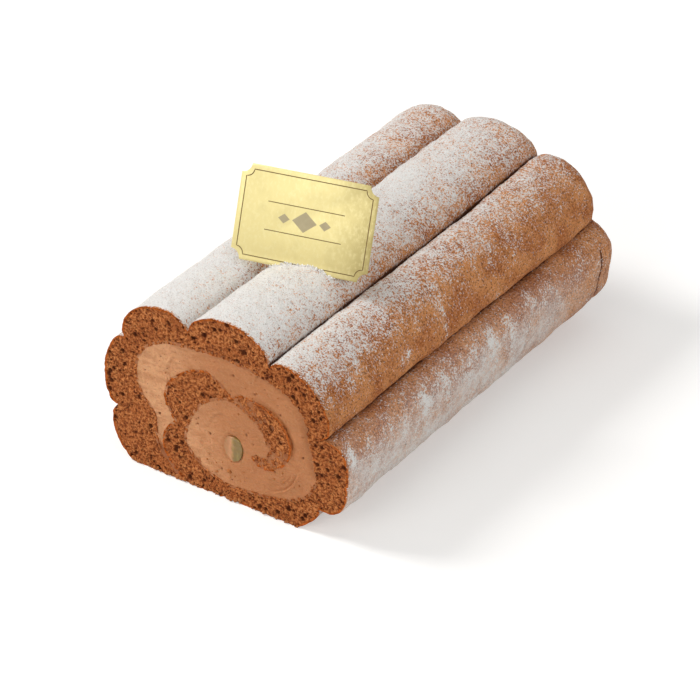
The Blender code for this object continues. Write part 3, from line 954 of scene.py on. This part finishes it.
def make_cream():
    """The spiral of cream, with its knife-cut face in front and a plain one at the far end."""
    outline = cream_outline()
    points, triangles = filled_outline(outline, 0.5)
    depth, holes = cream_relief(points, outline)
    closed = np.vstack([outline, outline[:1]])
    nearest = np.full(len(points), 1e9)
    for a, b in zip(closed, closed[1:]):
        along = np.clip(((points - a) @ (b - a)) / max((b - a) @ (b - a), 1e-9), 0, 1)
        nearest = np.minimum(nearest, np.linalg.norm(points - a - along[:, None] * (b - a), axis=1))
    x, z = points[:, 0], points[:, 1]
    outer_right = ramp(x, 12, 24) * ramp(z, 14, 26) * ramp(x * 0.5 + z, 38, 46)
    sunk = 0.9 * outer_right * (1 - ramp(nearest, 0.8, 4.0))
    around = np.hypot((x - CHESTNUT_CENTRE[0]) / 4.3, (z - CHESTNUT_CENTRE[2]) / 5.4)
    sunk += 0.9 * (1 - ramp(around, 0.85, 1.12)) * ramp(x, -3.4, 2.2)
    y = CUT_Y + 0.32 + depth + holes + sunk
    # painted light: the share of the darker cream colour, rising to the right
    deep = ramp(x + 0.3 * z, -16, 14)
    tail = (x < -10) * (1 - ramp(z, 11, 15))
    front = np.stack([points[:, 0], y, points[:, 1]], axis=1)
    back = np.stack([points[:, 0], np.full(len(points), CREAM_FAR_Y), points[:, 1]], axis=1)
    count = len(points)
    edge_use = {}
    for triangle in triangles:
        for a, b in zip(triangle, triangle[1:] + triangle[:1]):
            edge_use[(a, b)] = True
    rim = [(a, b) for a, b in edge_use if (b, a) not in edge_use]
    keep = sorted({i for pair in rim for i in pair})
    place = {i: count + n for n, i in enumerate(keep)}
    faces = [tuple(reversed(t)) for t in triangles]
    following = dict(rim)
    loop, at = [], rim[0][0]
    while at not in loop:
        loop.append(at)
        at = following[at]
    faces += [(a, b, place[b], place[a]) for a, b in rim]
    faces.append(tuple(place[i] for i in loop))
    vertices = np.vstack([front, back[keep]])
    blank = np.zeros(len(keep))
    attributes = (
        ("pore", np.concatenate([holes, blank])),
        ("soak", np.concatenate([np.maximum(1 - ramp(nearest, 0.7, 2.2), 1.3 * tail), blank])),
        ("deep", np.concatenate([deep, blank])),
    )
    piece = make_piece("cream_spiral", vertices, faces, (cream_material(),), attributes)
    tidy_normals(piece)
    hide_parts("cream")


def lumpy_ball(centre, size, turn, lumps, seed, subdivisions):
    """A rounded, uneven lump as (vertices, faces)."""
    bm = bmesh.new()
    bmesh.ops.create_icosphere(bm, subdivisions=subdivisions, radius=1)
    spin = Matrix.Rotation(turn, 3, "Y")
    for vert in bm.verts:
        place = vert.co.normalized()
        swell = 1 + lumps * noise.noise(place * 1.3 + Vector((seed, 0, 0)))
        swell += lumps * 0.4 * noise.noise(place * 3.4 + Vector((0, seed, 0)))
        vert.co = spin @ (place * Vector(size) / 2 * swell) + Vector(centre)
    vertices = [tuple(v.co) for v in bm.verts]
    faces = [tuple(v.index for v in f.verts) for f in bm.faces]
    bm.free()
    return vertices, faces


def make_chestnut():
    """The piece of chestnut in the core: cut off flush, and under a skin of cream on its left."""
    size = np.array(CHESTNUT_SIZE)
    vertices, faces = lumpy_ball(CHESTNUT_CENTRE, size, CHESTNUT_TURN, 0.14, 3.0, 5)
    vertices = np.array(vertices)
    bare = ramp(vertices[:, 0] - CHESTNUT_CENTRE[0], -3.2, 2.6)
    front = CUT_Y + 0.15 + 0.6 * (1 - ramp(bare, 0.0, 0.6)) + 0.16 * noise_at(vertices, 2.0, 15)
    vertices[:, 1] = np.maximum(vertices[:, 1], front)
    materials = (chestnut_material(),)
    piece = make_piece("chestnut_piece", vertices, faces, materials, (("bare", bare),))
    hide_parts("chestnut")


# ---------------------------------------------------------------- sugar and crumbs

GRAIN = ((1, 0, 0), (-1, 0, 0), (0, 1, 0), (0, -1, 0), (0, 0, 1), (0, 0, -1))
GRAIN_FACES = ((0, 2, 4), (2, 1, 4), (1, 3, 4), (3, 0, 4), (2, 0, 5), (1, 2, 5), (3, 1, 5), (0, 3, 5))
SUGAR_GRAINS = 22000
HEAP_GRAINS = 420


def scatter_on_grid(points, normals, weight, count):
    """Random places on a grid surface, more of them where weight is high: (places, normals)."""
    sides = (points[1:, :-1] - points[:-1, :-1], points[:-1, 1:] - points[:-1, :-1])
    area = np.linalg.norm(np.cross(*sides), axis=2)
    odds = (area * weight[:-1, :-1]).ravel()
    picks = chance.choice(len(odds), count, p=odds / odds.sum())
    row, column = np.divmod(picks, points.shape[1] - 1)
    s, t = chance.random((2, count, 1))
    def blend(grid):
        near = grid[row, column] * (1 - t) + grid[row, column + 1] * t
        far = grid[row + 1, column] * (1 - t) + grid[row + 1, column + 1] * t
        return near * (1 - s) + far * s
    return blend(points), blend(normals)


def make_bits(name, places, sizes, flatten, material):
    """Many small eight-sided bits, each turned at random, joined into one mesh."""
    corners = np.array(GRAIN, float)
    count = len(places)
    turns = chance.normal(size=(count, 3, 3))
    turns = np.linalg.qr(turns)[0]
    shape = corners[None] * chance.uniform(flatten, 1, (count, 1, 3)) * sizes[:, None, None]
    vertices = (shape @ turns + places[:, None]).reshape(-1, 3)
    vertices[:, 2] = np.maximum(vertices[:, 2], 0)
    faces = (np.array(GRAIN_FACES)[None] + 6 * np.arange(count)[:, None, None]).reshape(-1, 3)
    return make_piece(name, vertices, faces.tolist(), (material,), smooth=False)


def make_sugar(points, normals, sugar):
    weight = np.clip(sugar - 0.06, 0, 1) ** 1.3
    places, outward = scatter_on_grid(points, normals, weight, SUGAR_GRAINS)
    sizes = chance.uniform(0.10, 0.26, SUGAR_GRAINS)
    white = plain_sugar()
    make_bits("sugar_grains", places + outward * 0.03, sizes, 0.6, white)
    foot = card_frame()
    heap = []
    top = points[points[:, :, 2] > 66]
    for _ in range(HEAP_GRAINS):
        reach = chance.uniform(-15, 15)
        place = np.array(foot @ Vector((reach, 0, 0)))
        away = top[:, :2] - place[:2]
        height = top[np.argmin(np.sum(away**2, axis=1)), 2]
        front = np.array(foot @ Vector((reach, 0, CARD_THICK / 2)))
        slope = (height - CARD_FOOT[2]) * math.tan(math.radians(CARD_LEAN))
        lean = np.array([-math.sin(math.radians(CARD_YAW)), math.cos(math.radians(CARD_YAW))]) * slope
        if height > CARD_FOOT[2] - 0.5:
            spot = front[:2] + lean + chance.normal(0, 0.35, 2)
            heap.append((*spot, height + abs(chance.normal(0, 0.25))))
    heap_sizes = chance.uniform(0.2, 0.5, len(heap))
    make_bits("sugar_at_card", np.array(heap), heap_sizes, 0.6, white)


SEAM_X = -21.6
CRUMB_PLACES = (  # on the cut face: x, z, how widely strewn, how many
    (-6.0, 13.0, 3.0, 8),
    (4.0, 10.5, 3.5, 10),
    (-20.0, 38.0, 3.0, 6),
    (10.0, 42.0, 4.0, 9),
    (30.0, 14.0, 3.5, 8),
    (22.0, 20.0, 3.0, 7),
    (-24.0, 22.0, 2.5, 7),
    (20.0, 50.0, 4.0, 6),
)


def make_crumbs():
    """Loose crumbs: some dragged over the cut face, more along its lower edge and under the grooves."""
    section = browned_side(CUT_Y, SHEET_STEPS)
    low = section[section[:, 1] < 1.5]
    crumbs = []
    for _ in range(130):
        x = rng.uniform(low[:, 0].min() + 1, low[:, 0].max() - 1)
        size = rng.choice((0.5, 0.6, 0.8, 1.0, 1.5))
        crumbs.append((x, CUT_Y + rng.uniform(-0.25, 0.4), size * 0.45 + rng.uniform(0, 0.5), size))
    for x, z, spread_by, count in CRUMB_PLACES:
        for _ in range(count):
            size = rng.choice((0.35, 0.45, 0.6, 0.9))
            crumbs.append((x + rng.gauss(0, spread_by), CUT_Y + 0.3, z + rng.gauss(0, spread_by), size))
    crumbs.append((1.8, CUT_Y + 0.4, 11.9, 2.3))
    for x in (SEAM_X, SEAM_X + 1.4, 4.4, 5.8):
        crumbs.append((x, CUT_Y + 0.7, 1.1, 2.2))
    vertices, faces = [], []
    for number, (x, y, z, size) in enumerate(crumbs):
        shape = [size * rng.uniform(0.7, 1.2) for _ in range(3)]
        points, part = lumpy_ball((x, y, z), shape, rng.uniform(0, 3), 0.5, 1.7 * number, 2)
        faces += [tuple(i + len(vertices) for i in face) for face in part]
        vertices += points
    vertices = np.array(vertices)
    vertices[:, 2] = np.maximum(vertices[:, 2], 0)
    make_piece("loose_crumbs", vertices, faces, (plain_crumb(),))


# ---------------------------------------------------------------- the card

CARD_WIDTH = 50.0
CARD_HEIGHT = 33.4
CARD_THICK = 0.5
CARD_NOTCH = 3.4
CARD_FOOT = (0.5, -44.8, 70.2)
CARD_YAW = 13.7
CARD_LEAN = 25.0
BORDER_INSET = 1.9
BORDER_WIDTH = 0.34


def card_frame():
    """Where the card stands: its X along the lower edge, its Y up the card, its Z out of its face."""
    yaw = Matrix.Rotation(math.radians(CARD_YAW), 4, "Z")
    upright = Matrix.Rotation(math.radians(90 - CARD_LEAN), 4, "X")
    return Matrix.Translation(Vector(CARD_FOOT)) @ yaw @ upright


def notched_outline(inset_by, notch, steps=8):
    """The card's outline moved inwards, with hollow corners of this radius, counterclockwise."""
    half, low, high = CARD_WIDTH / 2 - inset_by, inset_by, CARD_HEIGHT - inset_by
    outline = []
    for x, y, start in ((half, low, 180), (half, high, 270), (-half, high, 0), (-half, low, 90)):
        for angle in np.radians(np.linspace(start, start - 90, steps + 1)):
            outline.append((x + notch * math.cos(angle), y + notch * math.sin(angle)))
    return outline


def on_card(points, height):
    """Flat card points as places in the model, this far out of the card's middle."""
    matrix = card_frame()
    return [tuple(matrix @ Vector((x, y, height))) for x, y in points]


def line_on_card(path, width, closed):
    """A flat strip of this width along a path on the card: (points, faces)."""
    path = np.asarray(path, float)
    if closed:
        ahead = np.roll(path, -1, axis=0) - np.roll(path, 1, axis=0)
    else:
        ahead = np.gradient(path, axis=0)
    ahead /= np.linalg.norm(ahead, axis=1, keepdims=True)
    side = np.stack([-ahead[:, 1], ahead[:, 0]], axis=1) * width / 2
    points = np.vstack([path + side, path - side])
    count = len(path)
    last = count if closed else count - 1
    faces = [(i, count + i, count + (i + 1) % count, (i + 1) % count) for i in range(last)]
    return points, faces


def make_card():
    """The gold card, its edges a little rounded, with its printed border and a plain ornament."""
    outline = notched_outline(0.0, CARD_NOTCH)
    rounding = 0.12
    inner = notched_outline(rounding, CARD_NOTCH + rounding)
    half = CARD_THICK / 2
    count = len(outline)
    vertices = []
    rings = ((inner, -half), (outline, -half + rounding), (outline, half - rounding), (inner, half))
    for loop, height in rings:
        vertices += on_card(loop, height)
    faces = [tuple(reversed(range(count))), tuple(range(3 * count, 4 * count))]
    for ring in range(3):
        for i in range(count):
            j = (i + 1) % count
            faces.append((ring * count + i, ring * count + j, (ring + 1) * count + j, (ring + 1) * count + i))
    card = make_piece("gold_card", vertices, faces, (gold_material(),), sharp=50)
    tidy_normals(card)
    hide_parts("label_card")

    print_height = half + 0.02
    border = notched_outline(BORDER_INSET, 2.6, 10)
    points, faces = line_on_card(border, BORDER_WIDTH, True)
    parts = [(points, faces)]
    for y, reach in ((21.6, 14.0), (11.8, 14.0)):
        parts.append(line_on_card([(-reach, y), (reach, y)], 0.3, False))
    make_print("card_border", parts, print_height, ink_material())
    lozenges = []
    for x, size in ((0, 3.6), (-7.5, 1.7), (7.5, 1.7)):
        middle = 16.7
        aside = size * 1.25
        diamond = np.array([(x - aside, middle), (x, middle - size), (x + aside, middle), (x, middle + size)])
        lozenges.append((diamond, [(0, 1, 2, 3)]))
    make_print("card_ornament", lozenges, print_height, grey_ink_material())


def make_print(name, parts, height, material):
    """Flat printed shapes on the card's face, as one piece."""
    vertices, faces = [], []
    for points, part in parts:
        start = len(vertices)
        vertices += on_card(points, height)
        faces += [tuple(start + i for i in face) for face in part]
    return make_piece(name, vertices, faces, (material,), smooth=False)


# ---------------------------------------------------------------- floor, light and camera

WORLD_LEVEL = 0.43  # for the rays that light the object; 1 for those that show the background
FLOOR_GLOW = 0.3
CAMERA_TURN = 34.5
CAMERA_RISE = 33.3
CAMERA_PLACE = (0.6055, -0.8934, 0.7222)
CAMERA_LENS = 185.14


def seen_directly(nodes, links):
    """A socket that is 1 for camera, glossy and transmission rays, and 0 for the rest."""
    rays = nodes.new("ShaderNodeLightPath")
    found = rays.outputs["Is Camera Ray"]
    for kind in ("Is Glossy Ray", "Is Transmission Ray"):
        either = nodes.new("ShaderNodeMath")
        either.operation = "MAXIMUM"
        links.new(found, either.inputs[0])
        links.new(rays.outputs[kind], either.inputs[1])
        found = either.outputs[0]
    return found


def make_floor():
    """A wide pale floor that looks white to the camera and keeps the roll's shadow."""
    bm = bmesh.new()
    bmesh.ops.create_grid(bm, x_segments=1, y_segments=1, size=4)
    mesh = bpy.data.meshes.new("floor")
    bm.to_mesh(mesh)
    bm.free()
    floor = bpy.data.objects.new("floor", mesh)
    bpy.context.scene.collection.objects.link(floor)
    material = bpy.data.materials.new("floor")
    material.use_nodes = True
    nodes, links = material.node_tree.nodes, material.node_tree.links
    nodes.clear()
    diffuse = nodes.new("ShaderNodeBsdfDiffuse")
    diffuse.inputs["Color"].default_value = (0.82, 0.81, 0.79, 1)
    glow = nodes.new("ShaderNodeEmission")
    share = nodes.new("ShaderNodeMath")
    share.operation = "MULTIPLY"
    share.inputs[1].default_value = FLOOR_GLOW
    links.new(seen_directly(nodes, links), share.inputs[0])
    links.new(share.outputs[0], glow.inputs["Strength"])
    both = nodes.new("ShaderNodeAddShader")
    links.new(diffuse.outputs[0], both.inputs[0])
    links.new(glow.outputs[0], both.inputs[1])
    output = nodes.new("ShaderNodeOutputMaterial")
    links.new(both.outputs[0], output.inputs["Surface"])
    mesh.materials.append(material)


def add_lamp(name, place, size, watts):
    """A square soft lamp at a place in metres, aimed at the roll's middle."""
    lamp = bpy.data.lights.new(name, "AREA")
    lamp.shape = "SQUARE"
    lamp.size = size
    lamp.energy = watts
    thing = bpy.data.objects.new(name, lamp)
    bpy.context.scene.collection.objects.link(thing)
    thing.location = place
    aim = Vector((0, 0, 0.03)) - Vector(place)
    thing.rotation_euler = aim.to_track_quat("-Z", "Y").to_euler()


def make_lights():
    """A soft key from the camera's left, a broad front fill and an even pale surround."""
    add_lamp("key", (-0.95, -0.35, 1.05), 0.45, 12.5)
    add_lamp("front", (-0.1, -1.5, 0.8), 0.9, 5.5)
    add_lamp("right", (1.3, -0.2, 0.8), 0.8, 5.2)
    world = bpy.data.worlds.new("studio")
    world.use_nodes = True
    nodes, links = world.node_tree.nodes, world.node_tree.links
    background = nodes["Background"]
    background.inputs["Color"].default_value = (1, 1, 1, 1)
    level = nodes.new("ShaderNodeMapRange")
    level.inputs["To Min"].default_value = WORLD_LEVEL
    level.inputs["To Max"].default_value = 1.0
    links.new(seen_directly(nodes, links), level.inputs["Value"])
    links.new(level.outputs["Result"], background.inputs["Strength"])
    bpy.context.scene.world = world


def make_camera():
    camera = bpy.data.cameras.new("camera")
    camera.lens = CAMERA_LENS
    camera.sensor_width = 36
    thing = bpy.data.objects.new("camera", camera)
    bpy.context.scene.collection.objects.link(thing)
    thing.location = CAMERA_PLACE
    turn, rise = math.radians(CAMERA_TURN), math.radians(CAMERA_RISE)
    aim = Vector((-math.sin(turn) * math.cos(rise), math.cos(turn) * math.cos(rise), -math.sin(rise)))
    thing.rotation_euler = aim.to_track_quat("-Z", "Y").to_euler()
    bpy.context.scene.camera = thing


bpy.context.scene.view_settings.view_transform = "Standard"
make_camera()
make_floor()
make_lights()
crust_points, crust_normals, crust_sugar_amount = make_sponge()
make_cream()
make_chestnut()
make_sugar(crust_points, crust_normals, crust_sugar_amount)
make_crumbs()
make_card()
